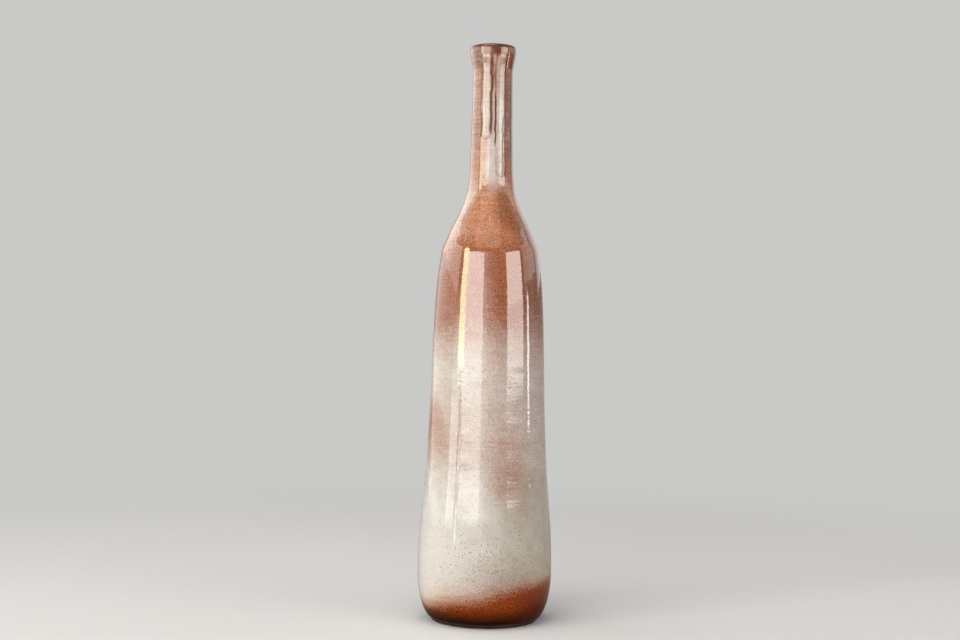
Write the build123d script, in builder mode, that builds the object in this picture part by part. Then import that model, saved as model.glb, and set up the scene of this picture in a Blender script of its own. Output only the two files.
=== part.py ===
from build123d import *

import os

# Bottle vase in glazed stoneware, thrown in three sections that are luted one on the other.
# The clay wall is closed by a sprayed coat of glaze outside and a poured liner glaze inside.
# Origin at the centre of the foot, on the surface that the vase stands on, with +Z up the axis.

# Outline of the fired clay: the radius at each station, and its rise above the station below it.
foot_radius = 36.4
belly_radius = 46.3
belly_rise = 35.0
flank_radius = 41.5
flank_rise = 76.0
waist_radius = 39.9
waist_rise = 33.5
body_radius = 37.7
body_rise = 69.0
shoulder_radius = 33.5
shoulder_rise = 42.5
slope_radius = 29.4
slope_rise = 11.0
neck_root_radius = 15.7
neck_root_rise = 35.0
neck_radius = 14.6
neck_rise = 15.5
throat_radius = 13.6
throat_rise = 63.0
lip_radius = 15.6
lip_rise = 17.0

# Angle at which the outline leaves the foot, above the surface that the vase stands on.
foot_flare_angle = 45.0

# Walls, measured level across the clay, which thins as it was drawn up.
base_wall = 6.5
body_wall = 5.0
neck_wall = 3.6
lip_wall = 4.0

# Turned foot: a ring round a shallow recess, under a floor with a hollowed corner.
foot_ring_width = 7.0
foot_edge_radius = 0.8
recess_depth = 4.0
recess_draft = 2.0
floor_thickness = 8.0
floor_flat_radius = 22.0

# Luted joints: a ridge on the rim below seats in a groove in the section above.
seam_ridge = 1.8

# Glaze coats, measured level. The outer coat is wiped back above the foot.
glaze_thickness = 0.5
liner_thickness = 0.4
glaze_line = 3.0

# Heights of the stations.
belly_height = belly_rise
flank_height = belly_height + flank_rise
waist_height = flank_height + waist_rise
body_height = waist_height + body_rise
shoulder_height = body_height + shoulder_rise
slope_height = shoulder_height + slope_rise
neck_root_height = slope_height + neck_root_rise
neck_height = neck_root_height + neck_rise
throat_height = neck_height + throat_rise
lip_height = throat_height + lip_rise
crest_height = lip_height + lip_wall / 2
floor_height = recess_depth + floor_thickness

# Stations of the wall above the foot: radius outside, height and wall.
stations = [
    (belly_radius, belly_height, base_wall),
    (flank_radius, flank_height, body_wall),
    (waist_radius, waist_height, body_wall),
    (body_radius, body_height, body_wall),
    (shoulder_radius, shoulder_height, body_wall),
    (slope_radius, slope_height, body_wall),
    (neck_root_radius, neck_root_height, neck_wall),
    (neck_radius, neck_height, neck_wall),
    (throat_radius, throat_height, neck_wall),
    (lip_radius, lip_height, lip_wall),
]
crest_radius = lip_radius - lip_wall / 2
mouth_radius = lip_radius - lip_wall
foot_flare = Vector(1, 0).rotate(Axis.Z, foot_flare_angle)
up = Vector(0, 1)
outwards = Vector(1, 0)


def wall_line(points, start):
    """Smooth line through the points that never swings past them, upright at its end and where it turns."""
    directions = [start]
    for (radius_below, height_below), (radius, height), (radius_above, height_above) in zip(
        points, points[1:], points[2:]
    ):
        lean_below = (radius - radius_below) / (height - height_below)
        lean_above = (radius_above - radius) / (height_above - height)
        lean = 0
        if lean_below * lean_above > 0:
            lean = 2 * lean_below * lean_above / (lean_below + lean_above)
        directions.append(Vector(lean, 1))
    return Spline(*points, tangents=directions + [up])


def outside(coat=0.0):
    """Outline from the foot to the lip, moved out by a coat of glaze."""
    points = [(foot_radius + coat, 0)]
    points += [(radius + coat, height) for radius, height, wall in stations]
    return wall_line(points, foot_flare)


def inside(coat=0.0):
    """Line of the hollow from the edge of the flat floor to the mouth, moved in by a coat of glaze."""
    points = [(floor_flat_radius, floor_height + coat)]
    points += [(radius - wall - coat, height) for radius, height, wall in stations]
    return wall_line(points, outwards)


def clay_wall():
    """Section of the whole clay wall, from the axis to the outline."""
    outer = outside()
    inner = inside()
    ThreePointArc(outer @ 1, (crest_radius, crest_height), inner @ 1)
    Polyline(
        inner @ 0,
        (0, floor_height),
        (0, recess_depth),
        (foot_radius - foot_ring_width - recess_draft, recess_depth),
        (foot_radius - foot_ring_width, 0),
        outer @ 0,
    )


def below_seam(radius, height, wall):
    """Area under a luted joint, with the ridge in the middle of the wall."""
    Polyline(
        (0, 0),
        (2 * belly_radius, 0),
        (2 * belly_radius, height),
        (radius, height),
        (radius - wall / 2, height + seam_ridge),
        (radius - wall, height),
        (0, height),
        close=True,
    )


# Sections of clay, from the foot up.
with BuildPart() as base_section:
    with BuildSketch(Plane.XZ):
        with BuildLine():
            clay_wall()
        make_face()
        with BuildLine():
            below_seam(flank_radius, flank_height, body_wall)
        make_face(mode=Mode.INTERSECT)
    revolve(axis=Axis.Z)
    foot_ring = faces().sort_by(Axis.Z)[0]
    fillet(foot_ring.edges(), foot_edge_radius)
base_section.part.label = "base_section"

with BuildPart() as body_section:
    with BuildSketch(Plane.XZ):
        with BuildLine():
            clay_wall()
        make_face()
        with BuildLine():
            below_seam(neck_root_radius, neck_root_height, neck_wall)
        make_face(mode=Mode.INTERSECT)
        with BuildLine():
            below_seam(flank_radius, flank_height, body_wall)
        make_face(mode=Mode.SUBTRACT)
    revolve(axis=Axis.Z)
body_section.part.label = "body_section"

with BuildPart() as neck_section:
    with BuildSketch(Plane.XZ):
        with BuildLine():
            clay_wall()
        make_face()
        with BuildLine():
            below_seam(neck_root_radius, neck_root_height, neck_wall)
        make_face(mode=Mode.SUBTRACT)
    revolve(axis=Axis.Z)
neck_section.part.label = "neck_section"

# Coats of glaze, which meet on the inner edge of the lip.
with BuildPart() as outer_glaze:
    with BuildSketch(Plane.XZ):
        with BuildLine():
            clay = outside()
            coat = outside(glaze_thickness)
            Line(clay @ 0, coat @ 0)
            ThreePointArc(clay @ 1, (crest_radius, crest_height), (mouth_radius, lip_height))
            Line((mouth_radius, lip_height), (mouth_radius - liner_thickness, lip_height))
            ThreePointArc(
                coat @ 1,
                (crest_radius, crest_height + glaze_thickness),
                (mouth_radius - liner_thickness, lip_height),
            )
        make_face()
    revolve(axis=Axis.Z)
    split(bisect_by=Plane.XY.offset(glaze_line), keep=Keep.TOP)
outer_glaze.part.label = "outer_glaze"

with BuildPart() as liner_glaze:
    with BuildSketch(Plane.XZ):
        with BuildLine():
            clay = inside()
            coat = inside(liner_thickness)
            Line(clay @ 1, coat @ 1)
            Polyline(clay @ 0, (0, floor_height), (0, floor_height + liner_thickness), coat @ 0)
        make_face()
    revolve(axis=Axis.Z)
liner_glaze.part.label = "liner_glaze"

os.makedirs("parts", exist_ok=True)
for piece in (base_section, body_section, neck_section, outer_glaze, liner_glaze):
    export_step(piece.part, f"parts/{piece.part.label}.step")
print("height", crest_height + glaze_thickness, "width", 2 * (belly_radius + glaze_thickness))
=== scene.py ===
import bmesh
import bpy
import math
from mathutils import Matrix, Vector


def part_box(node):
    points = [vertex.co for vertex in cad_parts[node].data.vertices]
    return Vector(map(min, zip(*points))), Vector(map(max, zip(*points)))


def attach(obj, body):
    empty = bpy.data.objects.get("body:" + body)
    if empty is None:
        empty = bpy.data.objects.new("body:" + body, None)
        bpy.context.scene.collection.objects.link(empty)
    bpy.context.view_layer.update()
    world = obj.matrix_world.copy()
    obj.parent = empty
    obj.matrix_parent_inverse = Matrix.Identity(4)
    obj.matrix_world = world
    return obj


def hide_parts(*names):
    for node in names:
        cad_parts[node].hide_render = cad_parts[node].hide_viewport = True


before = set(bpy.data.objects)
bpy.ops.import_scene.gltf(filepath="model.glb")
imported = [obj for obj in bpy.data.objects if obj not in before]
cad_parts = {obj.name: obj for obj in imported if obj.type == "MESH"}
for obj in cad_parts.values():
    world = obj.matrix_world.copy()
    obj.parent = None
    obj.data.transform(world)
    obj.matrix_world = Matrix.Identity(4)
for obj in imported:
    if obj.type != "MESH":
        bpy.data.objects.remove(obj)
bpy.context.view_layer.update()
mm = 0.001


def linear(hexText):  # sRGB hex to linear colour
    parts = [int(hexText[i:i + 2], 16) / 255 for i in (1, 3, 5)]
    return tuple(c / 12.92 if c <= 0.04045 else ((c + 0.055) / 1.055) ** 2.4 for c in parts) + (1.0,)


def addNode(tree, kind, settings={}, inputs={}, stops=()):  # a node, its settings, its links and its ramp
    node = tree.nodes.new(kind)
    for name, value in settings.items():
        setattr(node, name, value)
    for socket, source in inputs.items():
        if isinstance(source, bpy.types.Node):
            source = source.outputs[0]
        if isinstance(source, bpy.types.NodeSocket):
            tree.links.new(source, node.inputs[socket])
        else:
            node.inputs[socket].default_value = source
    for index, (place, colour) in enumerate(stops):
        elements = node.color_ramp.elements
        stop = elements[index] if index < 2 else elements.new(place)
        stop.position = place
        stop.color = colour
    return node


def span(ends, side="From"):  # both ends of a range, for the inputs of a node
    return {side + " Min": ends[0], side + " Max": ends[1]}


# Outlines, read off the solids

def coatLine(nodeName, side, top):  # seam points whose faces look outwards, 1, or to the axis, -1
    found = {}
    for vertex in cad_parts[nodeName].data.vertices:
        onSeam = abs(vertex.co.y) < 1e-7 and vertex.co.x > 0
        if onSeam and vertex.normal.x * side > 0.05 and vertex.co.z <= top + 1e-6:
            found[round(vertex.co.z, 6)] = vertex.co.x
    return [(radius, height) for height, radius in sorted(found.items())]


def lipArc(outer, inner, foot, crest, steps=14):  # half round from the outer edge to the inner one
    middle = (outer + inner) / 2
    turns = [math.pi * step / steps for step in range(1, steps)]
    return [(middle + (outer - inner) / 2 * math.cos(a), foot + (crest - foot) * math.sin(a)) for a in turns]


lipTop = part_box("liner_glaze")[1].z
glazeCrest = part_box("outer_glaze")[1].z
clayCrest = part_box("neck_section")[1].z
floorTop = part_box("liner_glaze")[0].z
glazeOut = coatLine("outer_glaze", 1, lipTop)
glazeIn = coatLine("outer_glaze", -1, lipTop)
linerIn = coatLine("liner_glaze", -1, lipTop)
linerOut = coatLine("liner_glaze", 1, lipTop)
print("outlines:", len(glazeOut), "points outside,", len(linerIn), "points inside")


# Turned wall: an outline swung round the axis, with the marks of the wheel

def turnedWall():
    curveSteps = 12
    runBends = 1.6  # how often a run bends on its way down
    lipShare = 0.2  # of the fade, over which a run grows out of the lip
    seam = 0.002 * mm
    tree = bpy.data.node_groups.new("turnedWall", "GeometryNodeTree")
    sockets = [("Outline", "Geometry"), ("Rows", "Int"), ("Segments", "Int"), ("Material", "Material")]
    numbers = ["Row Share", "Length Share", "Relief Start", "Relief End", "Relief Fade",
               "Ring Pitch", "Ring Depth", "Swell Pitch", "Swell Depth", "Run Wander"]
    for run in ("Left", "Right"):
        numbers += [run + part for part in (" Run Turn", " Run Width", " Run Foot", " Run Depth")]
    sockets += [(name, "Float") for name in numbers]
    for name, kind in sockets:
        tree.interface.new_socket(name=name, in_out="INPUT", socket_type="NodeSocket" + kind)
    tree.interface.new_socket(name="Wall", in_out="OUTPUT", socket_type="NodeSocketGeometry")
    given = addNode(tree, "NodeGroupInput").outputs

    # smooth line through the outline's points
    line = addNode(tree, "GeometryNodeMeshToCurve", {}, {"Mesh": given["Outline"]})
    line = addNode(tree, "GeometryNodeCurveSplineType", {"spline_type": "CATMULL_ROM"}, {"Curve": line})
    line = addNode(tree, "GeometryNodeSetSplineResolution", {}, {"Geometry": line, "Resolution": curveSteps})

    # a flat sheet, one edge round the axis and the other along the outline
    segments = addNode(tree, "ShaderNodeMath", {"operation": "ADD"}, {0: given["Segments"], 1: 1.0})
    sheet = addNode(tree, "GeometryNodeMeshGrid", {}, {
        "Size X": 1.0, "Size Y": 1.0, "Vertices X": segments, "Vertices Y": given["Rows"]})
    flat = addNode(tree, "ShaderNodeSeparateXYZ", {}, {0: addNode(tree, "GeometryNodeInputPosition")})
    around = addNode(tree, "ShaderNodeMath", {"operation": "MULTIPLY_ADD"}, {
        0: flat.outputs["X"], 1: math.tau, 2: math.pi})
    row = addNode(tree, "ShaderNodeMath", {"operation": "ADD"}, {0: flat.outputs["Y"], 1: 0.5})

    # most rows go to the side that shows
    seen = addNode(tree, "ShaderNodeMapRange", {}, {
        "Value": row, "From Max": given["Row Share"], "To Max": given["Length Share"]})
    rest = addNode(tree, "ShaderNodeMath", {"operation": "SUBTRACT"}, {0: 1.0, 1: given["Length Share"]})
    hidden = addNode(tree, "ShaderNodeMapRange", {}, {
        "Value": row, "From Min": given["Row Share"], "To Max": rest})
    along = addNode(tree, "ShaderNodeMath", {"operation": "ADD"}, {0: seen, 1: hidden})
    sample = addNode(tree, "GeometryNodeSampleCurve", {"mode": "FACTOR"}, {"Curves": line, "Factor": along})
    place = addNode(tree, "ShaderNodeSeparateXYZ", {}, {0: sample.outputs["Position"]})
    slope = addNode(tree, "ShaderNodeSeparateXYZ", {}, {0: sample.outputs["Tangent"]})
    radius = place.outputs["X"]
    height = place.outputs["Z"]

    # relief only on the wall that shows, faded at its ends
    fadeIn = addNode(tree, "ShaderNodeMath", {"operation": "ADD"}, {
        0: given["Relief Start"], 1: given["Relief Fade"]})
    fadeOut = addNode(tree, "ShaderNodeMath", {"operation": "SUBTRACT"}, {
        0: given["Relief End"], 1: given["Relief Fade"]})
    rise = addNode(tree, "ShaderNodeMapRange", {"interpolation_type": "SMOOTHSTEP"}, {
        "Value": along, "From Min": given["Relief Start"], "From Max": fadeIn})
    fall = addNode(tree, "ShaderNodeMapRange", {"interpolation_type": "SMOOTHSTEP"}, {
        "Value": along, "From Min": fadeOut, "From Max": given["Relief End"], "To Min": 1.0, "To Max": 0.0})
    mask = addNode(tree, "ShaderNodeMath", {"operation": "MULTIPLY"}, {0: rise, 1: fall})

    # throwing spiral: one groove that climbs a pitch each turn, deeper in some places than others
    turn = addNode(tree, "ShaderNodeMath", {"operation": "DIVIDE"}, {0: height, 1: given["Ring Pitch"]})
    angle = addNode(tree, "ShaderNodeMath", {"operation": "MULTIPLY_ADD"}, {0: turn, 1: math.tau, 2: around})
    groove = addNode(tree, "ShaderNodeMath", {"operation": "SINE"}, {0: angle})
    cosine = addNode(tree, "ShaderNodeMath", {"operation": "COSINE"}, {0: around})
    sine = addNode(tree, "ShaderNodeMath", {"operation": "SINE"}, {0: around})
    swellHeight = addNode(tree, "ShaderNodeMath", {"operation": "DIVIDE"}, {
        0: height, 1: given["Swell Pitch"]})
    wheel = addNode(tree, "ShaderNodeCombineXYZ", {}, {"X": cosine, "Y": sine, "Z": swellHeight})
    hand = addNode(tree, "ShaderNodeTexNoise", {"noise_dimensions": "3D"}, {
        "Vector": wheel, "Scale": 1.0, "Detail": 2.0, "Roughness": 0.45})
    ring = addNode(tree, "ShaderNodeMath", {"operation": "MULTIPLY_ADD"}, {0: groove, 1: 0.5, 2: 0.5})
    ring = addNode(tree, "ShaderNodeMath", {"operation": "MULTIPLY"}, {0: ring, 1: hand})
    ring = addNode(tree, "ShaderNodeMath", {"operation": "MULTIPLY"}, {0: ring, 1: given["Ring Depth"]})
    relief = addNode(tree, "ShaderNodeMath", {"operation": "MULTIPLY_ADD"}, {
        0: hand, 1: given["Swell Depth"], 2: ring})
    relief = addNode(tree, "ShaderNodeMath", {"operation": "MULTIPLY"}, {0: relief, 1: mask})

    # glaze that ran down from the lip and stopped: a bead with a round end
    lipStart = addNode(tree, "ShaderNodeMath", {"operation": "MULTIPLY_ADD"}, {
        0: given["Relief Fade"], 1: -lipShare, 2: given["Relief End"]})
    onWall = addNode(tree, "ShaderNodeMapRange", {"interpolation_type": "SMOOTHSTEP"}, {
        "Value": along, "From Min": lipStart, "From Max": given["Relief End"], "To Min": 1.0, "To Max": 0.0})
    bead = 0.0
    for run in ("Left", "Right"):
        across = addNode(tree, "ShaderNodeMath", {"operation": "SUBTRACT"}, {
            0: around, 1: given[run + " Run Turn"]})
        across = addNode(tree, "ShaderNodeMath", {"operation": "MULTIPLY"}, {0: across, 1: radius})
        wander = addNode(tree, "ShaderNodeTexNoise", {"noise_dimensions": "4D"}, {
            "Vector": wheel, "W": given[run + " Run Turn"], "Scale": runBends, "Detail": 1.0})
        wander = addNode(tree, "ShaderNodeMath", {"operation": "SUBTRACT"}, {0: wander, 1: 0.5})
        across = addNode(tree, "ShaderNodeMath", {"operation": "MULTIPLY_ADD"}, {
            0: wander, 1: given["Run Wander"], 2: across})
        below = addNode(tree, "ShaderNodeMath", {"operation": "SUBTRACT"}, {
            0: given[run + " Run Foot"], 1: height})
        below = addNode(tree, "ShaderNodeMath", {"operation": "MAXIMUM"}, {0: below, 1: 0.0})
        away = addNode(tree, "ShaderNodeCombineXYZ", {}, {"X": across, "Y": below})
        away = addNode(tree, "ShaderNodeVectorMath", {"operation": "LENGTH"}, {0: away})
        half = addNode(tree, "ShaderNodeMath", {"operation": "DIVIDE"}, {
            0: given[run + " Run Width"], 1: 2.0})
        swell = addNode(tree, "ShaderNodeMapRange", {"interpolation_type": "SMOOTHSTEP"}, {
            "Value": away.outputs["Value"], "From Max": half, "To Min": 1.0, "To Max": 0.0})
        swell = addNode(tree, "ShaderNodeMath", {"operation": "MULTIPLY"}, {0: swell, 1: onWall})
        bead = addNode(tree, "ShaderNodeMath", {"operation": "ADD"}, {0: bead, 1: swell})
        raised = addNode(tree, "ShaderNodeMath", {"operation": "MULTIPLY"}, {
            0: swell, 1: given[run + " Run Depth"]})
        relief = addNode(tree, "ShaderNodeMath", {"operation": "SUBTRACT"}, {0: relief, 1: raised})

    # the relief goes in, square to the outline, and the outline goes round the axis
    inRadius = addNode(tree, "ShaderNodeMath", {"operation": "MULTIPLY"}, {0: relief, 1: slope.outputs["Z"]})
    inHeight = addNode(tree, "ShaderNodeMath", {"operation": "MULTIPLY"}, {0: relief, 1: slope.outputs["X"]})
    radius = addNode(tree, "ShaderNodeMath", {"operation": "SUBTRACT"}, {0: radius, 1: inRadius})
    height = addNode(tree, "ShaderNodeMath", {"operation": "ADD"}, {0: height, 1: inHeight})
    wallX = addNode(tree, "ShaderNodeMath", {"operation": "MULTIPLY"}, {0: radius, 1: cosine})
    wallY = addNode(tree, "ShaderNodeMath", {"operation": "MULTIPLY"}, {0: radius, 1: sine})
    wall = addNode(tree, "ShaderNodeCombineXYZ", {}, {"X": wallX, "Y": wallY, "Z": height})
    turned = addNode(tree, "GeometryNodeStoreNamedAttribute", {}, {
        "Geometry": sheet, "Name": "run", "Value": bead})
    turned = addNode(tree, "GeometryNodeSetPosition", {}, {"Geometry": turned, "Position": wall})
    turned = addNode(tree, "GeometryNodeMergeByDistance", {}, {"Geometry": turned, "Distance": seam})
    turned = addNode(tree, "GeometryNodeSetShadeSmooth", {}, {"Geometry": turned})
    turned = addNode(tree, "GeometryNodeRealizeInstances", {}, {"Geometry": turned})
    turned = addNode(tree, "GeometryNodeSetMaterial", {}, {"Geometry": turned, "Material": given["Material"]})
    addNode(tree, "NodeGroupOutput", {}, {"Wall": turned})
    return tree


def lineLength(points):
    return sum(math.dist(a, b) for a, b in zip(points, points[1:]))


def turnPiece(name, tree, shown, hidden, sizes, material):  # one closed coat from its two lines
    points = shown + hidden
    outline = bpy.data.meshes.new(name)
    outline.from_pydata([(r, 0, z) for r, z in points], [(i, i + 1) for i in range(len(points) - 1)], [])
    piece = bpy.data.objects.new(name, outline)
    bpy.context.scene.collection.objects.link(piece)
    modifier = piece.modifiers.new("turnedWall", "NODES")
    modifier.node_group = tree
    whole = lineLength(points)
    values = {
        "Rows": sizes["shownRows"] + sizes["hiddenRows"],
        "Segments": sizes["segments"],
        "Row Share": sizes["shownRows"] / (sizes["shownRows"] + sizes["hiddenRows"] - 1),
        "Length Share": lineLength(shown + hidden[:1]) / whole,
        "Relief Start": sizes["reliefFrom"] * mm / whole,
        "Relief End": sizes["reliefTo"] * mm / whole,
        "Relief Fade": sizes["reliefFade"] * mm / whole,
        "Ring Pitch": sizes["ringPitch"] * mm,
        "Ring Depth": sizes["ringDepth"] * mm,
        "Swell Pitch": sizes["swellPitch"] * mm,
        "Swell Depth": sizes["swellDepth"] * mm,
        "Run Wander": sizes["runWander"] * mm,
        "Material": material,
    }
    for run, shape in sizes["runs"].items():
        values[run + " Run Turn"] = math.radians(shape["azimuth"] + 270)
        values[run + " Run Width"] = shape["width"] * mm
        values[run + " Run Foot"] = shape["foot"] * mm
        values[run + " Run Depth"] = shape["depth"] * mm
    for item in tree.interface.items_tree:
        if item.in_out == "INPUT" and item.name in values:
            modifier[item.identifier] = values[item.name]
    graph = bpy.context.evaluated_depsgraph_get()
    mesh = bpy.data.meshes.new_from_object(piece.evaluated_get(graph))
    piece.modifiers.clear()
    piece.data = mesh
    shell = bmesh.new()
    shell.from_mesh(mesh)
    bmesh.ops.recalc_face_normals(shell, faces=shell.faces)
    openEdges = sum(1 for edge in shell.edges if not edge.is_manifold)
    shell.to_mesh(mesh)
    shell.free()
    print(name + ":", len(mesh.polygons), "faces,", openEdges, "open edges")
    return piece


# Materials

stoneware = {  # toasted iron-bearing clay, turned smooth: dull, warm brown, with grog and fine turning lines; both tones darkened as painted shade where the foot meets the floor
    "clay": "#4a2d1d",
    "toastedShaded": "#26150d",
    "toastedShadedTo": 0.55, "clayFrom": 0.95,  # where the two tones go over into each other
    "grog": 0.7, "grogShare": 0.5,  # mm, and its part in the tone
    "blush": 14.0,  # mm, size of the darker clouds
    "turningPitch": 0.9, "lineShare": 0.15,  # mm between turning lines, and their part in the relief
    "bumpDepth": 0.2, "bumpStrength": 0.35,  # mm
    "roughness": 0.72,
}

noiseRange = (0.3, 0.7)  # most of a noise texture lies between these

sprayedGlaze = {  # milky tin white sprayed over an iron glaze: wet gloss, rust breaking through as fine grain
    "milk": "#cfcbc8",
    "milkThin": "#c2bab5",
    "milkThick": "#dbd4d5",
    "thickCentre": (-40, -24, 44), "thickReach": 56.0,  # mm, where the milk is thickest
    "milkFoot": "#d6ad88",  # droplets stained by the iron round the foot
    "milkFootUp": (12, 36), "milkFootMost": 0.85,  # mm
    "shadeLowRight": "#e8e6dc",  # painted shade low on the right, which dims the white
    "shadeLowRightAcross": (-4, 22), "shadeLowRightUp": (92, 120),  # mm
    "mottle": 8.0,  # mm, thick and thin places in the milk
    "rust": "#8b5033",
    "slope": "#a4633c",
    "body": "#935a3b",
    "foot": "#7d350e",
    # darkest iron at the foot, darkened further as painted shade where it meets the floor
    "footDarkAndShade": "#260d05",
    # dark iron of the neck streaks, and painted shade on the right of the neck and shoulder
    "darkIronAndShade": "#4f3226",
    # painted shade on the right of the foot
    "footShadeRight": "#4c1a08",
    # dark iron at the lip, with painted shade on the front of its crest
    "lip": "#43261a",
    "speck": "#45312a",
    # colour of the iron, and of its dark places and painted shade, at each height, mm
    "ironByHeight": [
        (5, "footDarkAndShade"), (15, "foot"), (26, "foot"), (110, "body"), (175, "body"), (205, "rust"),
        (250, "rust"), (275, "slope"), (295, "slope"), (340, "rust")],
    "darkAndShadeByHeight": [(30, "footShadeRight"), (60, "darkIronAndShade")],
    "crystal": 1.2, "crystalShade": (0.6, 1.6),  # mm, dark and light iron, drawn coarse enough to show
    "grain": 0.75,  # mm, droplets of the spray
    "grainReach": 1.8,  # how far a droplet moves the share of milk
    "grainNeck": (265, 320), "grainNeckShare": 0.22,  # mm, weaker on the neck
    "grainFoot": (8, 24), "grainFootShare": 0.4,  # mm, weaker at the foot
    "contrast": 1.25, "contrastShift": -0.13,  # of the share of milk, before the droplets
    "cloud": 26.0,  # mm, drift of the spray gun
    "cloudReach": 18.0,  # mm that a cloud moves the bands and patches
    "cloudFoot": (15, 70), "cloudFootShare": 0.3,  # mm, less near the foot
    "footTilt": 0.17, "footTiltUp": (20, 70),  # mm, the rust round the foot stands higher on the right
    "ringLine": 1.5, "ringStretch": 0.1,  # mm, lines left by the fingers, long round the wall
    "ringUp": (200, 265), "ringReach": (0.3, 0.45),  # mm, and what they change below and above
    "run": 3.2, "runStretch": 0.05,  # mm, width of the runs on the neck, which are long
    "runUp": (285, 335),  # mm, where they begin
    "runSide": (-10, -4), "runSideLeast": 0.2,  # mm, weaker on the left
    "beadCore": (0.3, 0.8), "beadMilk": 0.22,  # more milk on the two raised runs, by their rise
    "rimOuter": (0.02, 0.1), "rimInner": (0.15, 0.4),  # and less at their edges
    "rimMost": 0.5, "rimMilk": -0.4,
    # iron left bare between runs: degrees from the front, width, from and to in height
    "streaks": [(-4, 1.0, 336, 392), (9, 0.7, 326, 368), (30, 0.8, 306, 352)],
    "streakBend": 0.09, "streakWander": 1.2,  # bends in a mm, and mm to each side
    "streakEdge": 1.3, "streakEnd": 6.0, "streakMilk": -0.7,  # widths, mm, change of milk
    "lipReach": 5.0,  # mm that a run carries the dark of the lip up or down
    "lipBand": (3.5, 1.0), "lipMost": 0.9,  # mm below the top
    "speckCell": 1.15,  # mm between specks
    "speckRadius": 0.43, "speckSizes": (0.35, 1.25),  # mm, and the least and most of it
    "speckEdge": (0.4, 1.1), "speckMost": 0.78,  # how a speck fades out, and its darkest
    "speckCrowd": 24.0, "crowdRange": (0.35, 0.65),  # mm, size of the places with more specks
    "speckChance": (0.97, 0.74),  # share of cells left empty, outside those places and in them
    "speckCentre": (6, -44, 37), "speckReach": 45.0, "speckNear": -0.75,  # mm, where most of them fell
    "pepper": (0.9, 0.3), "dustGrain": (0.58, 0.75),  # fine dust, at the centre and away from it
    "peel": 1.8, "peelDepth": 0.1, "peelStrength": 0.2,  # mm, ripple of the fired surface
    "roughness": 0.06,
    "ior": 1.75,
    # the glaze is thin and dry round the foot and on the neck: height in mm, and gloss, at most 0.5
    "glossByHeight": [(12, 0.03), (22, 0.14), (40, 0.5), (275, 0.5), (305, 0.3), (400, 0.3)],
    # share of milk over the iron at each height, mm
    "milkByHeight": [
        (0, 0.0), (13, 0.0), (18, 0.15), (22, 0.4), (28, 0.74), (38, 0.92), (58, 1.0), (84, 0.98),
        (102, 0.76), (125, 0.6), (150, 0.66), (172, 0.7), (190, 0.5), (209, 0.18), (224, 0.05), (242, 0.02),
        (260, 0.05), (270, 0.16), (285, 0.2), (305, 0.26), (350, 0.26), (400, 0.24)],
    # clouds of more or less milk, some of them painted shade on the right and at the lip and a painted
    # highlight at the left of the neck root: x, y, z, reach across, reach up and down, change
    "milkAndLightClouds": [
        (-40, -8, 143, 30, 22, -0.32), (-37, -18, 126, 26, 27, -0.28), (-43, 14, 134, 32, 21, -0.34),
        (-30, 34, 128, 32, 20, -0.24), (-8, 42, 121, 32, 18, -0.14), (38, -22, 128, 22, 34, 0.12),
        (-38, -20, 207, 20, 14, -0.1), (-14, -6, 378, 9, 32, 0.1), (-20, -36, 178, 22, 22, 0.1),
        (12, -40, 108, 20, 34, -0.14), (-3, -45, 36, 26, 20, -0.1), (18, -38, 92, 24, 26, -0.22),
        (-14, -40, 84, 22, 16, -0.1), (16, -42, 38, 30, 22, -0.1), (18, -42, 25, 26, 12, -0.12),
        (30, -16, 232, 30, 60, 0.07), (-30, -10, 264, 30, 50, 0.2), (2, -17, 345, 13, 60, 0.36),
        (14, -4, 352, 15, 75, -0.4), (22, -14, 270, 20, 26, -0.1), (2.5, -16, 398, 7, 9, -0.6),
        (3, -17, 316, 12, 26, 0.26), (-40, -22, 20, 30, 14, 0.25), (40, -22, 23, 20, 13, -0.36),
        (-16, -11, 293, 10, 17, 0.25), (8, -22, 284, 14, 28, -0.14)],
    # places where the iron is thin and dark, and painted shade on the right of the neck, shoulder and foot
    # and at the front of the lip: the same measures
    "darkAndShadeClouds": [
        (14, -4, 352, 15, 75, 0.75), (22, -14, 270, 20, 26, 0.5), (42, -18, 6, 38, 26, 0.85),
        (2.5, -16, 398, 7, 9, 0.9), (-9, -12.5, 391, 4.5, 15, 0.7), (34, -18, 232, 24, 44, 0.3),
        (11, -20, 286, 14, 30, 0.42)],
}

linerFinish = {  # the iron glaze alone, poured and drained: dark, wet brown
    "brown": "#5b3120",
    "pale": "#83553c",
    "brownTo": 0.35, "paleFrom": 0.7,  # where the two tones go over into each other
    "drift": 22.0, "runStretch": 0.2,  # mm, long down the wall
    "roughness": 0.1,
    "ior": 1.52,
}


def newMaterial(name):
    material = bpy.data.materials.new(name)
    material.use_nodes = True
    tree = material.node_tree
    tree.nodes.clear()
    inMetres = addNode(tree, "ShaderNodeTexCoord").outputs["Object"]
    place = addNode(tree, "ShaderNodeVectorMath", {"operation": "SCALE"}, {
        "Vector": inMetres, "Scale": 1 / mm})
    shader = addNode(tree, "ShaderNodeBsdfPrincipled")
    addNode(tree, "ShaderNodeOutputMaterial", {}, {"Surface": shader})
    return material, tree, place, shader


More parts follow.
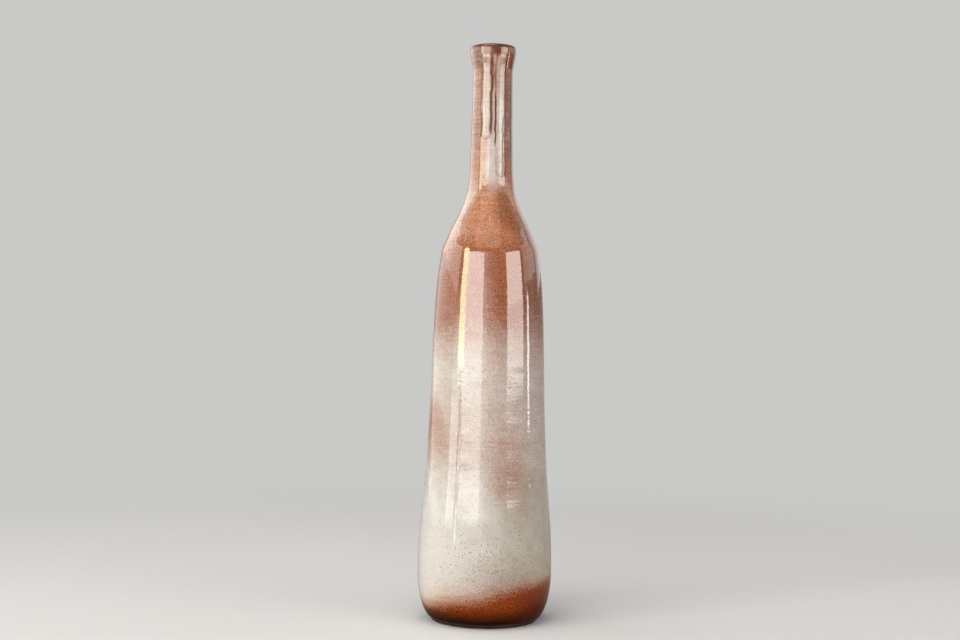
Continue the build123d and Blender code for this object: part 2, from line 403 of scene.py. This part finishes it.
def bareStoneware(finish):
    material, tree, place, shader = newMaterial("bareStoneware")
    blush = addNode(tree, "ShaderNodeTexNoise", {}, {
        "Vector": place, "Scale": 1 / finish["blush"], "Detail": 4.0})
    grog = addNode(tree, "ShaderNodeTexNoise", {}, {
        "Vector": place, "Scale": 1 / finish["grog"], "Detail": 2.0})
    mixed = addNode(tree, "ShaderNodeMath", {"operation": "MULTIPLY_ADD"}, {
        0: grog, 1: finish["grogShare"], 2: blush})
    # both clay tones are darkened: painted shade at the floor contact
    colour = addNode(tree, "ShaderNodeValToRGB", {}, {"Fac": mixed}, [
        (finish["toastedShadedTo"], linear(finish["toastedShaded"])), (finish["clayFrom"], linear(finish["clay"]))])
    flat = addNode(tree, "ShaderNodeVectorMath", {"operation": "MULTIPLY"}, {0: place, 1: (1, 1, 0)})
    radius = addNode(tree, "ShaderNodeVectorMath", {"operation": "LENGTH"}, {0: flat})
    lines = addNode(tree, "ShaderNodeMath", {"operation": "MULTIPLY"}, {
        0: radius.outputs["Value"], 1: math.tau / finish["turningPitch"]})
    lines = addNode(tree, "ShaderNodeMath", {"operation": "SINE"}, {0: lines})
    relief = addNode(tree, "ShaderNodeMath", {"operation": "MULTIPLY_ADD"}, {
        0: lines, 1: finish["lineShare"], 2: grog})
    bump = addNode(tree, "ShaderNodeBump", {}, {
        "Strength": finish["bumpStrength"], "Distance": finish["bumpDepth"] * mm, "Height": relief})
    tree.links.new(colour.outputs["Color"], shader.inputs["Base Color"])
    tree.links.new(bump.outputs["Normal"], shader.inputs["Normal"])
    shader.inputs["Roughness"].default_value = finish["roughness"]
    return material


def addClouds(tree, place, amount, clouds, operation, core=0.25):  # joins soft patches, full in their core
    for x, y, z, across, tall, change in clouds:
        away = addNode(tree, "ShaderNodeVectorMath", {"operation": "SUBTRACT"}, {0: place, 1: (x, y, z)})
        away = addNode(tree, "ShaderNodeVectorMath", {"operation": "DIVIDE"}, {
            0: away, 1: (across, across, tall)})
        away = addNode(tree, "ShaderNodeVectorMath", {"operation": "LENGTH"}, {0: away})
        soft = addNode(tree, "ShaderNodeMapRange", {"interpolation_type": "SMOOTHSTEP"}, {
            "Value": away.outputs["Value"], **span((core, 1.0)), **span((change, 0.0), "To")})
        amount = addNode(tree, "ShaderNodeMath", {"operation": operation}, {0: amount, 1: soft})
    return amount


def ironAndMilkGlaze(finish, top):
    material, tree, place, shader = newMaterial("ironAndMilkGlaze")
    axes = addNode(tree, "ShaderNodeSeparateXYZ", {}, {0: place})
    grain = addNode(tree, "ShaderNodeTexNoise", {}, {
        "Vector": place, "Scale": 1 / finish["grain"], "Detail": 2.0, "Roughness": 0.65})

    # the spray drifts, so that bands and patches have loose edges
    drift = addNode(tree, "ShaderNodeTexNoise", {}, {
        "Vector": place, "Scale": 1 / finish["cloud"], "Detail": 3.0}).outputs["Color"]
    drift = addNode(tree, "ShaderNodeVectorMath", {"operation": "SUBTRACT"}, {0: drift, 1: (0.5, 0.5, 0.5)})
    reach = addNode(tree, "ShaderNodeMapRange", {}, {
        "Value": axes.outputs["Z"], **span(finish["cloudFoot"]),
        "To Min": finish["cloudFootShare"] * finish["cloudReach"], "To Max": finish["cloudReach"]})
    drifted = addNode(tree, "ShaderNodeVectorMath", {"operation": "MULTIPLY_ADD"}, {
        0: drift, 1: reach, 2: place})
    height = addNode(tree, "ShaderNodeSeparateXYZ", {}, {0: drifted}).outputs["Z"]
    nearFoot = addNode(tree, "ShaderNodeMapRange", {"interpolation_type": "SMOOTHSTEP"}, {
        "Value": axes.outputs["Z"], **span(finish["footTiltUp"]),
        "To Min": -finish["footTilt"], "To Max": 0.0})
    height = addNode(tree, "ShaderNodeMath", {"operation": "MULTIPLY_ADD"}, {
        0: axes.outputs["X"], 1: nearFoot, 2: height})
    height = addNode(tree, "ShaderNodeMath", {"operation": "DIVIDE"}, {0: height, 1: top})
    share = addNode(tree, "ShaderNodeValToRGB", {}, {"Fac": height}, [
        (level / top, (part, part, part, 1)) for level, part in finish["milkByHeight"]])
    # clouds of milk, some of them painted shade and a painted highlight
    share = addClouds(tree, drifted, share, finish["milkAndLightClouds"], "ADD")

    # runs down the neck and lines round the wall
    runPlace = addNode(tree, "ShaderNodeVectorMath", {"operation": "MULTIPLY"}, {
        0: place, 1: (1, 1, finish["runStretch"])})
    runs = addNode(tree, "ShaderNodeTexNoise", {}, {
        "Vector": runPlace, "Scale": 1 / finish["run"], "Detail": 2.0})
    runs = addNode(tree, "ShaderNodeMath", {"operation": "SUBTRACT"}, {0: runs, 1: 0.5})
    onNeck = addNode(tree, "ShaderNodeMapRange", {"interpolation_type": "SMOOTHSTEP"}, {
        "Value": axes.outputs["Z"], **span(finish["runUp"]), "To Max": 1.0})
    onSide = addNode(tree, "ShaderNodeMapRange", {}, {
        "Value": axes.outputs["X"], **span(finish["runSide"]),
        "To Min": finish["runSideLeast"], "To Max": 1.0})
    onNeck = addNode(tree, "ShaderNodeMath", {"operation": "MULTIPLY"}, {0: onNeck, 1: onSide})
    share = addNode(tree, "ShaderNodeMath", {"operation": "MULTIPLY_ADD"}, {0: runs, 1: onNeck, 2: share})
    linePlace = addNode(tree, "ShaderNodeVectorMath", {"operation": "MULTIPLY"}, {
        0: place, 1: (finish["ringStretch"], finish["ringStretch"], 1)})
    lines = addNode(tree, "ShaderNodeTexNoise", {}, {
        "Vector": linePlace, "Scale": 1 / finish["ringLine"], "Detail": 2.0})
    lines = addNode(tree, "ShaderNodeMath", {"operation": "SUBTRACT"}, {0: lines, 1: 0.5})
    upper = addNode(tree, "ShaderNodeMapRange", {}, {
        "Value": axes.outputs["Z"], **span(finish["ringUp"]), **span(finish["ringReach"], "To")})
    share = addNode(tree, "ShaderNodeMath", {"operation": "MULTIPLY_ADD"}, {0: lines, 1: upper, 2: share})

    # milk is thick on the two long runs, and drawn off at their edges
    bead = addNode(tree, "ShaderNodeAttribute", {"attribute_name": "run"}).outputs["Fac"]
    thick = addNode(tree, "ShaderNodeMapRange", {"interpolation_type": "SMOOTHSTEP"}, {
        "Value": bead, **span(finish["beadCore"]), "To Max": finish["beadMilk"]})
    share = addNode(tree, "ShaderNodeMath", {"operation": "ADD"}, {0: share, 1: thick})
    rise = addNode(tree, "ShaderNodeMapRange", {}, {"Value": bead, **span(finish["rimOuter"]), "To Max": 1.0})
    fall = addNode(tree, "ShaderNodeMapRange", {}, {
        "Value": bead, **span(finish["rimInner"]), "To Min": finish["rimMost"], "To Max": 0.0})
    rim = addNode(tree, "ShaderNodeMath", {"operation": "MULTIPLY"}, {0: rise, 1: fall})
    share = addNode(tree, "ShaderNodeMath", {"operation": "MULTIPLY_ADD"}, {
        0: rim, 1: finish["rimMilk"], 2: share})

    # bare streaks between the runs, which wander a little
    flat = addNode(tree, "ShaderNodeVectorMath", {"operation": "MULTIPLY"}, {0: place, 1: (1, 1, 0)})
    radius = addNode(tree, "ShaderNodeVectorMath", {"operation": "LENGTH"}, {0: flat}).outputs["Value"]
    front = addNode(tree, "ShaderNodeMath", {"operation": "MULTIPLY"}, {0: axes.outputs["Y"], 1: -1.0})
    turn = addNode(tree, "ShaderNodeMath", {"operation": "ARCTAN2"}, {0: axes.outputs["X"], 1: front})
    wander = addNode(tree, "ShaderNodeTexNoise", {"noise_dimensions": "1D"}, {
        "W": axes.outputs["Z"], "Scale": finish["streakBend"], "Detail": 2.0})
    wander = addNode(tree, "ShaderNodeMath", {"operation": "MULTIPLY_ADD"}, {
        0: wander, 1: 2 * finish["streakWander"], 2: -finish["streakWander"]})
    darkAndShade = rim
    for azimuth, width, low, high in finish["streaks"]:
        across = addNode(tree, "ShaderNodeMath", {"operation": "SUBTRACT"}, {
            0: turn, 1: math.radians(azimuth)})
        across = addNode(tree, "ShaderNodeMath", {"operation": "MULTIPLY_ADD"}, {
            0: across, 1: radius, 2: wander})
        across = addNode(tree, "ShaderNodeMath", {"operation": "ABSOLUTE"}, {0: across})
        inside = addNode(tree, "ShaderNodeMapRange", {"interpolation_type": "SMOOTHSTEP"}, {
            "Value": across, "From Max": finish["streakEdge"] * width, "To Min": 1.0, "To Max": 0.0})
        along = addNode(tree, "ShaderNodeMath", {"operation": "SUBTRACT"}, {
            0: axes.outputs["Z"], 1: (low + high) / 2})
        along = addNode(tree, "ShaderNodeMath", {"operation": "ABSOLUTE"}, {0: along})
        within = addNode(tree, "ShaderNodeMapRange", {"interpolation_type": "SMOOTHSTEP"}, {
            "Value": along, "From Min": (high - low) / 2 - finish["streakEnd"], "From Max": (high - low) / 2,
            "To Min": 1.0, "To Max": 0.0})
        streak = addNode(tree, "ShaderNodeMath", {"operation": "MULTIPLY"}, {0: inside, 1: within})
        share = addNode(tree, "ShaderNodeMath", {"operation": "MULTIPLY_ADD"}, {
            0: streak, 1: finish["streakMilk"], 2: share})
        darkAndShade = addNode(tree, "ShaderNodeMath", {"operation": "MAXIMUM"}, {0: darkAndShade, 1: streak})

    # droplets, loose where the share is in between
    share = addNode(tree, "ShaderNodeMath", {"operation": "MULTIPLY_ADD"}, {
        0: share, 1: finish["contrast"], 2: finish["contrastShift"]})
    spray = addNode(tree, "ShaderNodeMath", {"operation": "SUBTRACT"}, {0: grain, 1: 0.5})
    calm = addNode(tree, "ShaderNodeMapRange", {}, {
        "Value": axes.outputs["Z"], **span(finish["grainNeck"]),
        "To Min": finish["grainReach"], "To Max": finish["grainNeckShare"] * finish["grainReach"]})
    fine = addNode(tree, "ShaderNodeMapRange", {}, {
        "Value": axes.outputs["Z"], **span(finish["grainFoot"]),
        "To Min": finish["grainFootShare"], "To Max": 1.0})
    spray = addNode(tree, "ShaderNodeMath", {"operation": "MULTIPLY"}, {0: spray, 1: fine})
    milk = addNode(tree, "ShaderNodeMath", {"operation": "MULTIPLY_ADD", "use_clamp": True}, {
        0: spray, 1: calm, 2: share})

    # iron under the milk, darkest at the foot, with painted shade where it meets the floor and on the right
    level = addNode(tree, "ShaderNodeMath", {"operation": "DIVIDE"}, {0: axes.outputs["Z"], 1: top})
    iron = addNode(tree, "ShaderNodeValToRGB", {}, {"Fac": level}, [
        (at / top, linear(finish[tone])) for at, tone in finish["ironByHeight"]])
    # dark places, some of them painted shade on the right and at the lip
    darkAndShade = addClouds(tree, drifted, darkAndShade, finish["darkAndShadeClouds"], "MAXIMUM")
    darkAndShadeTone = addNode(tree, "ShaderNodeValToRGB", {}, {"Fac": level}, [
        (at / top, linear(finish[tone])) for at, tone in finish["darkAndShadeByHeight"]])
    iron = addNode(tree, "ShaderNodeMix", {"data_type": "RGBA"}, {
        "Factor": darkAndShade, 6: iron.outputs["Color"], 7: darkAndShadeTone.outputs["Color"]})
    crystals = addNode(tree, "ShaderNodeTexNoise", {}, {
        "Vector": place, "Scale": 1 / finish["crystal"], "Detail": 2.0, "Roughness": 0.6})
    glint = addNode(tree, "ShaderNodeMapRange", {}, {
        "Value": crystals, **span(noiseRange), **span(finish["crystalShade"], "To")})
    iron = addNode(tree, "ShaderNodeHueSaturation", {}, {"Color": iron.outputs["Result"], "Value": glint})
    mottle = addNode(tree, "ShaderNodeTexNoise", {}, {
        "Vector": place, "Scale": 1 / finish["mottle"], "Detail": 4.0})
    mottle = addNode(tree, "ShaderNodeMapRange", {}, {
        "Value": mottle, **span(noiseRange), "To Min": 0.0, "To Max": 1.0})
    white = addNode(tree, "ShaderNodeMix", {"data_type": "RGBA"}, {
        "Factor": mottle, 6: linear(finish["milkThin"]), 7: linear(finish["milk"])})
    # painted shade low on the right: the white is dimmed there
    aside = addNode(tree, "ShaderNodeMapRange", {"interpolation_type": "SMOOTHSTEP"}, {
        "Value": axes.outputs["X"], **span(finish["shadeLowRightAcross"])})
    low = addNode(tree, "ShaderNodeMapRange", {"interpolation_type": "SMOOTHSTEP"}, {
        "Value": axes.outputs["Z"], **span(finish["shadeLowRightUp"]), "To Min": 1.0, "To Max": 0.0})
    shadeLowRight = addNode(tree, "ShaderNodeMath", {"operation": "MULTIPLY"}, {0: aside, 1: low})
    white = addNode(tree, "ShaderNodeMix", {"data_type": "RGBA", "blend_type": "MULTIPLY"}, {
        "Factor": shadeLowRight, 6: white.outputs["Result"], 7: linear(finish["shadeLowRight"])})
    away = addNode(tree, "ShaderNodeVectorMath", {"operation": "DISTANCE"}, {
        0: drifted, 1: finish["thickCentre"]})
    heavy = addNode(tree, "ShaderNodeMapRange", {"interpolation_type": "SMOOTHSTEP"}, {
        "Value": away.outputs["Value"], "From Max": finish["thickReach"], "To Min": 1.0, "To Max": 0.0})
    white = addNode(tree, "ShaderNodeMix", {"data_type": "RGBA"}, {
        "Factor": heavy, 6: white.outputs["Result"], 7: linear(finish["milkThick"])})
    stain = addNode(tree, "ShaderNodeMapRange", {"interpolation_type": "SMOOTHSTEP"}, {
        "Value": height, **span([at / top for at in finish["milkFootUp"]]),
        "To Min": finish["milkFootMost"], "To Max": 0.0})
    white = addNode(tree, "ShaderNodeMix", {"data_type": "RGBA"}, {
        "Factor": stain, 6: white.outputs["Result"], 7: linear(finish["milkFoot"])})
    paint = addNode(tree, "ShaderNodeMix", {"data_type": "RGBA"}, {
        "Factor": milk, 6: iron.outputs["Color"], 7: white.outputs["Result"]})

    # the glaze draws back from the lip, and the iron there goes dark; the dark on the crest is also painted
    # shade
    edge = addNode(tree, "ShaderNodeMath", {"operation": "MULTIPLY_ADD"}, {
        0: runs, 1: finish["lipReach"], 2: axes.outputs["Z"]})
    edge = addNode(tree, "ShaderNodeMapRange", {"interpolation_type": "SMOOTHSTEP"}, {
        "Value": edge, **span([top - below for below in finish["lipBand"]]), "To Max": finish["lipMost"]})
    paint = addNode(tree, "ShaderNodeMix", {"data_type": "RGBA"}, {
        "Factor": edge, 6: paint.outputs["Result"], 7: linear(finish["lip"])})

    # iron specks in the milk
    cells = addNode(tree, "ShaderNodeTexVoronoi", {}, {"Vector": place, "Scale": 1 / finish["speckCell"]})
    size = finish["speckRadius"] / finish["speckCell"]
    chance = addNode(tree, "ShaderNodeSeparateColor", {}, {0: cells.outputs["Color"]})
    large = addNode(tree, "ShaderNodeMapRange", {}, {
        "Value": chance.outputs["Green"], **span([part * size for part in finish["speckSizes"]], "To")})
    dot = addNode(tree, "ShaderNodeMath", {"operation": "DIVIDE"}, {0: cells.outputs["Distance"], 1: large})
    dot = addNode(tree, "ShaderNodeMapRange", {}, {
        "Value": dot, **span(finish["speckEdge"]), "To Min": finish["speckMost"], "To Max": 0.0})
    crowd = addNode(tree, "ShaderNodeTexNoise", {}, {
        "Vector": place, "Scale": 1 / finish["speckCrowd"], "Detail": 1.0})
    crowd = addNode(tree, "ShaderNodeMapRange", {}, {
        "Value": crowd, **span(finish["crowdRange"]), **span(finish["speckChance"], "To")})
    away = addNode(tree, "ShaderNodeVectorMath", {"operation": "DISTANCE"}, {
        0: place, 1: finish["speckCentre"]})
    near = addNode(tree, "ShaderNodeMapRange", {"interpolation_type": "SMOOTHSTEP"}, {
        "Value": away.outputs["Value"], "From Max": finish["speckReach"],
        "To Min": finish["speckNear"], "To Max": 0.0})
    crowd = addNode(tree, "ShaderNodeMath", {"operation": "ADD"}, {0: crowd, 1: near})
    chosen = addNode(tree, "ShaderNodeMath", {"operation": "GREATER_THAN"}, {
        0: chance.outputs["Red"], 1: crowd})
    dot = addNode(tree, "ShaderNodeMath", {"operation": "MULTIPLY"}, {0: dot, 1: chosen})
    dot = addNode(tree, "ShaderNodeMath", {"operation": "MULTIPLY"}, {0: dot, 1: milk})
    paint = addNode(tree, "ShaderNodeMix", {"data_type": "RGBA"}, {
        "Factor": dot, 6: paint.outputs["Result"], 7: linear(finish["speck"])})

    pepper = addNode(tree, "ShaderNodeMapRange", {"interpolation_type": "SMOOTHSTEP"}, {
        "Value": away.outputs["Value"], "From Max": finish["speckReach"], **span(finish["pepper"], "To")})
    dust = addNode(tree, "ShaderNodeMapRange", {}, {
        "Value": grain, **span(finish["dustGrain"]), "To Max": pepper})
    dust = addNode(tree, "ShaderNodeMath", {"operation": "MULTIPLY"}, {0: dust, 1: milk})
    paint = addNode(tree, "ShaderNodeMix", {"data_type": "RGBA"}, {
        "Factor": dust, 6: paint.outputs["Result"], 7: linear(finish["speck"])})

    peel = addNode(tree, "ShaderNodeTexNoise", {}, {
        "Vector": place, "Scale": 1 / finish["peel"], "Detail": 1.0})
    bump = addNode(tree, "ShaderNodeBump", {}, {
        "Strength": finish["peelStrength"], "Distance": finish["peelDepth"] * mm, "Height": peel})
    tree.links.new(paint.outputs["Result"], shader.inputs["Base Color"])
    tree.links.new(bump.outputs["Normal"], shader.inputs["Normal"])
    shader.inputs["Roughness"].default_value = finish["roughness"]
    shader.inputs["IOR"].default_value = finish["ior"]
    gloss = addNode(tree, "ShaderNodeValToRGB", {}, {"Fac": level}, [
        (at / top, (part, part, part, 1)) for at, part in finish["glossByHeight"]])
    tree.links.new(gloss.outputs["Color"], shader.inputs["Specular IOR Level"])
    return material


def drainedGlaze(finish):
    material, tree, place, shader = newMaterial("drainedGlaze")
    runs = addNode(tree, "ShaderNodeVectorMath", {"operation": "MULTIPLY"}, {
        0: place, 1: (1, 1, finish["runStretch"])})
    drift = addNode(tree, "ShaderNodeTexNoise", {}, {
        "Vector": runs, "Scale": 1 / finish["drift"], "Detail": 3.0})
    colour = addNode(tree, "ShaderNodeValToRGB", {}, {"Fac": drift}, [
        (finish["brownTo"], linear(finish["brown"])), (finish["paleFrom"], linear(finish["pale"]))])
    tree.links.new(colour.outputs["Color"], shader.inputs["Base Color"])
    shader.inputs["Roughness"].default_value = finish["roughness"]
    shader.inputs["IOR"].default_value = finish["ior"]
    return material


clayMaterial = bareStoneware(stoneware)
glazeMaterial = ironAndMilkGlaze(sprayedGlaze, glazeCrest / mm)
linerMaterial = drainedGlaze(linerFinish)
print("materials:", clayMaterial.name, glazeMaterial.name, linerMaterial.name)

for nodeName in ("base_section", "body_section", "neck_section"):
    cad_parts[nodeName].data.materials.clear()
    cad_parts[nodeName].data.materials.append(clayMaterial)

# Outer coat

outerCoat = {  # sizes in mm
    "shownRows": 400, "hiddenRows": 60, "segments": 208,
    "reliefFrom": 2.0, "reliefTo": 396.0, "reliefFade": 14.0,
    "ringPitch": 3.1, "ringDepth": 0.012,
    "swellPitch": 18.0, "swellDepth": 0.24,
    "runWander": 2.5,
    "runs": {
        "Left": {"azimuth": -17, "width": 10.5, "foot": 338, "depth": 0.35},
        "Right": {"azimuth": 25, "width": 10.5, "foot": 312, "depth": 0.2},
    },
}
wallTree = turnedWall()
shownLine = glazeOut + lipArc(glazeOut[-1][0], linerIn[-1][0], lipTop, glazeCrest) + linerIn[-1:]
hiddenLine = lipArc(glazeIn[-1][0], linerOut[-1][0], lipTop, clayCrest)[::-1] + glazeIn[::-1] + glazeOut[:1]
outerGlaze = turnPiece("outerGlaze", wallTree, shownLine, hiddenLine, outerCoat, glazeMaterial)
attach(outerGlaze, "root")
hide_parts("outer_glaze")

# Liner

liner = {  # sizes in mm
    "shownRows": 240, "hiddenRows": 60, "segments": 128,
    "reliefFrom": 30.0, "reliefTo": 400.0, "reliefFade": 20.0,
    "ringPitch": 3.4, "ringDepth": 0.06,
    "swellPitch": 20.0, "swellDepth": 0.0,
    "runWander": 0.0,
    "runs": {},
}
shownLine = [(0, linerIn[0][1])] + linerIn
hiddenLine = linerOut[::-1] + [(0, floorTop)]
linerGlaze = turnPiece("linerGlaze", wallTree, shownLine, hiddenLine, liner, linerMaterial)
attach(linerGlaze, "root")
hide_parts("liner_glaze")

# Stage, light and camera

studio = {
    "ground": "#a59f98", "seenGround": "#dedde0", "groundRoughness": 0.9,
    "width": 14.0, "front": 6.0, "back": 2.6, "height": 3.2, "sweep": 1.4,  # metres
    "drop": 0.0002,  # metres between the floor and the foot
    "plain": (0.3, 0.9),  # metres from the vase at which the floor goes over to the plain tone
    "litAcross": (-1000.0, 1500.0), "litLeast": 0.2, "litBehind": 1000.0,  # mm, floor seen pale in gloss
    "skyColour": "#e2e6ea", "skyStrength": 0.16, "skyTurn": (0.1, 0.5),  # how far back a ray points
    "backdrop": "#c9c9c8",
}


def isSeen(tree, part):  # rays that see a background as painted: straight, and part of it in gloss and glass
    rays = addNode(tree, "ShaderNodeLightPath").outputs
    seen = addNode(tree, "ShaderNodeMath", {"operation": "MAXIMUM"}, {
        0: rays["Is Glossy Ray"], 1: rays["Is Transmission Ray"]})
    seen = addNode(tree, "ShaderNodeMath", {"operation": "MULTIPLY"}, {0: seen, 1: part})
    return addNode(tree, "ShaderNodeMath", {"operation": "MAXIMUM"}, {0: rays["Is Camera Ray"], 1: seen})


def paleGround(sizes):  # matt paper: lit round the vase, and a plain pale tone further off
    material, tree, place, shader = newMaterial("paleGround")
    rays = addNode(tree, "ShaderNodeLightPath").outputs
    paper = addNode(tree, "ShaderNodeMix", {"data_type": "RGBA"}, {
        "Factor": rays["Is Camera Ray"], 6: linear(sizes["ground"]), 7: linear(sizes["seenGround"])})
    tree.links.new(paper.outputs["Result"], shader.inputs["Base Color"])
    shader.inputs["Roughness"].default_value = sizes["groundRoughness"]
    axes = addNode(tree, "ShaderNodeSeparateXYZ", {}, {0: place}).outputs
    lit = addNode(tree, "ShaderNodeMapRange", {}, {
        "Value": axes["X"], **span(sizes["litAcross"]), "To Min": 1.0, "To Max": sizes["litLeast"]})
    behind = addNode(tree, "ShaderNodeMapRange", {}, {"Value": axes["Y"], "From Max": sizes["litBehind"]})
    lit = addNode(tree, "ShaderNodeMath", {"operation": "MULTIPLY"}, {0: lit, 1: behind})
    away = addNode(tree, "ShaderNodeVectorMath", {"operation": "LENGTH"}, {0: place}).outputs["Value"]
    plainFrom, plainTo = sizes["plain"]
    far = addNode(tree, "ShaderNodeMapRange", {"interpolation_type": "SMOOTHSTEP"}, {
        "Value": away, "From Min": plainFrom / mm, "From Max": plainTo / mm})
    amount = addNode(tree, "ShaderNodeMath", {"operation": "MULTIPLY"}, {0: far, 1: isSeen(tree, lit)})
    plain = addNode(tree, "ShaderNodeEmission", {}, {"Color": linear(sizes["backdrop"])})
    both = addNode(tree, "ShaderNodeMixShader", {}, {0: amount, 1: shader, 2: plain})
    tree.links.new(both.outputs["Shader"], tree.nodes["Material Output"].inputs["Surface"])
    return material


def backdrop(sizes):  # floor that sweeps up into a wall
    steps = 24
    bend = [math.pi / 2 * step / steps for step in range(steps + 1)]
    side = [(-sizes["front"], 0.0)]
    start = sizes["back"] - sizes["sweep"]
    side += [(start + sizes["sweep"] * math.sin(a), sizes["sweep"] * (1 - math.cos(a))) for a in bend]
    side += [(sizes["back"], sizes["height"])]
    points = [(x, y, z - sizes["drop"]) for x in (-sizes["width"] / 2, sizes["width"] / 2) for y, z in side]
    count = len(side)
    faces = [(i, i + count, i + count + 1, i + 1) for i in range(count - 1)]
    mesh = bpy.data.meshes.new("backdrop")
    mesh.from_pydata(points, [], faces)
    mesh.shade_smooth()
    mesh.materials.append(paleGround(sizes))
    ground = bpy.data.objects.new("backdrop", mesh)
    bpy.context.scene.collection.objects.link(ground)


backdrop(studio)

# azimuth in degrees from the camera, right positive; metres; strips from the bottom up: from, to, brightness
panels = {
    "brightLeft": {"azimuth": -57, "away": 1.6, "width": 0.34, "tint": "#e6f5c8", "strips": [
        (0.185, 1.05, 9.5)]},
    "lowLeft": {"azimuth": -54, "away": 1.6, "width": 0.05, "tint": "#fffbee", "strips": [
        (0.0, 0.14, 6)]},
    "paleLeft": {"azimuth": -32, "away": 1.7, "width": 1.2, "tint": "#fffdfb", "strips": [
        (0.06, 0.1, 0.6), (0.1, 0.12, 1.5), (0.12, 0.14, 3.5), (0.14, 0.2, 3.7), (0.2, 0.3, 4.6),
        (0.3, 0.87, 5.8)]},
    "lowWide": {"azimuth": -67, "away": 1.75, "width": 0.5, "tint": "#fffdfb", "strips": [
        (0.05, 0.09, 1.8), (0.09, 0.16, 3.2)]},
    "paleRight": {"azimuth": 57, "away": 1.7, "width": 1.15, "tint": "#fbf7f0", "strips": [
        (0.158, 0.165, 1.2), (0.165, 0.2, 2.8), (0.2, 0.42, 4.2), (0.42, 0.86, 5.6)]},
    "brightRight": {"azimuth": 89, "away": 1.6, "width": 0.14, "tint": "#ffffff", "strips": [
        (0.124, 0.435, 6.5)]},
    "highRight": {"azimuth": 104, "away": 1.7, "width": 1.3, "tint": "#fbf7f0", "strips": [
        (0.5, 1.3, 1.0)]},
    "farLeft": {"azimuth": -110, "away": 1.8, "width": 2.8, "tint": "#fffdfb", "strips": [
        (0.0, 0.16, 1.15), (0.16, 0.55, 0.8), (0.55, 1.4, 1.8)]},
    "backRight": {"azimuth": 146, "away": 1.7, "width": 1.0, "tint": "#f4f6f8", "strips": [
        (0.36, 1.1, 1.0)]},
    "gapLeft": {"azimuth": -67.5, "away": 1.7, "width": 0.27, "tint": "#fffdfb", "strips": [
        (0.16, 0.24, 1.2), (0.24, 0.34, 2.0), (0.34, 0.5, 0.6)]},
}
softEdge = {  # the right edge of the pale left panel fades: azimuth and share of the strips
    "away": 1.7, "width": 0.235, "tint": "#fffdfb",  # metres
    "shares": [(-9.0, 1.0), (-1.5, 0.55), (6.5, 0.35), (14.5, 0.14)],
    "strips": [(0.12, 0.2, 1.6), (0.2, 0.6, 2.1), (0.6, 0.87, 1.1)],
}
for step, (azimuth, share) in enumerate(softEdge["shares"]):
    panels["softLeft%d" % step] = {
        "azimuth": azimuth, "away": softEdge["away"], "width": softEdge["width"], "tint": softEdge["tint"],
        "strips": [(bottom, over, glow * share) for bottom, over, glow in softEdge["strips"]]}
tops = {  # panels overhead: degrees, metres
    "warm": {"azimuth": -9, "pitch": 52, "away": 1.0, "height": 1.6, "width": 1.7, "tall": 1.2, "glow": 0.9,
             "tint": "#ffeada"},
    "high": {"azimuth": -35, "pitch": 78, "away": 0.42, "height": 2.1, "width": 1.3, "tall": 1.2, "glow": 2.5,
             "tint": "#ffffff"},
}


def addPanel(name, azimuth, pitch, away, height, width, tall, glow, tint):  # soft light that faces the vase
    light = bpy.data.lights.new(name, "AREA")
    light.shape = "RECTANGLE"
    light.size = width
    light.size_y = tall
    light.energy = glow * math.pi * width * tall
    light.color = linear(tint)[:3]
    lamp = bpy.data.objects.new(name, light)
    turn = math.radians(azimuth)
    lamp.location = (away * math.sin(turn), -away * math.cos(turn), height)
    lamp.rotation_euler = (math.radians(90 - pitch), 0, turn)
    bpy.context.scene.collection.objects.link(lamp)


for name, panel in panels.items():
    for bottom, over, glow in panel["strips"]:
        addPanel(name, panel["azimuth"], 0, panel["away"], (bottom + over) / 2, panel["width"], over - bottom,
                 glow, panel["tint"])
for name, panel in tops.items():
    addPanel(name, **panel)

world = bpy.data.worlds.new("studio")
world.use_nodes = True
world.node_tree.nodes.clear()
sky = addNode(world.node_tree, "ShaderNodeBackground", {}, {
    "Color": linear(studio["skyColour"]), "Strength": studio["skyStrength"]})
plain = addNode(world.node_tree, "ShaderNodeBackground", {}, {"Color": linear(studio["backdrop"])})
ahead = addNode(world.node_tree, "ShaderNodeTexCoord").outputs["Generated"]
ahead = addNode(world.node_tree, "ShaderNodeSeparateXYZ", {}, {0: ahead}).outputs["Y"]
behind = addNode(world.node_tree, "ShaderNodeMapRange", {}, {"Value": ahead, **span(studio["skyTurn"])})
seen = isSeen(world.node_tree, behind)
both = addNode(world.node_tree, "ShaderNodeMixShader", {}, {0: seen, 1: sky, 2: plain})
addNode(world.node_tree, "ShaderNodeOutputWorld", {}, {"Surface": both})
bpy.context.scene.world = world

view = {
    "lens": 55.0, "sensor": 36.0,  # mm
    "away": 1.027, "eye": 0.2086,  # metres
    "aside": -0.0061,  # metres that the camera stands left of the axis
    "lean": -0.99,  # degrees: the vase leans a little to the right
}
camera = bpy.data.cameras.new("camera")
camera.lens = view["lens"]
camera.sensor_width = view["sensor"]
eye = bpy.data.objects.new("camera", camera)
eye.location = (view["aside"], -view["away"], view["eye"])
eye.rotation_euler = (math.radians(90), math.radians(view["lean"]), 0)
bpy.context.scene.collection.objects.link(eye)
bpy.context.scene.camera = eye
bpy.context.scene.view_settings.view_transform = "Standard"
print("stage:", len(panels) + len(tops), "panels")
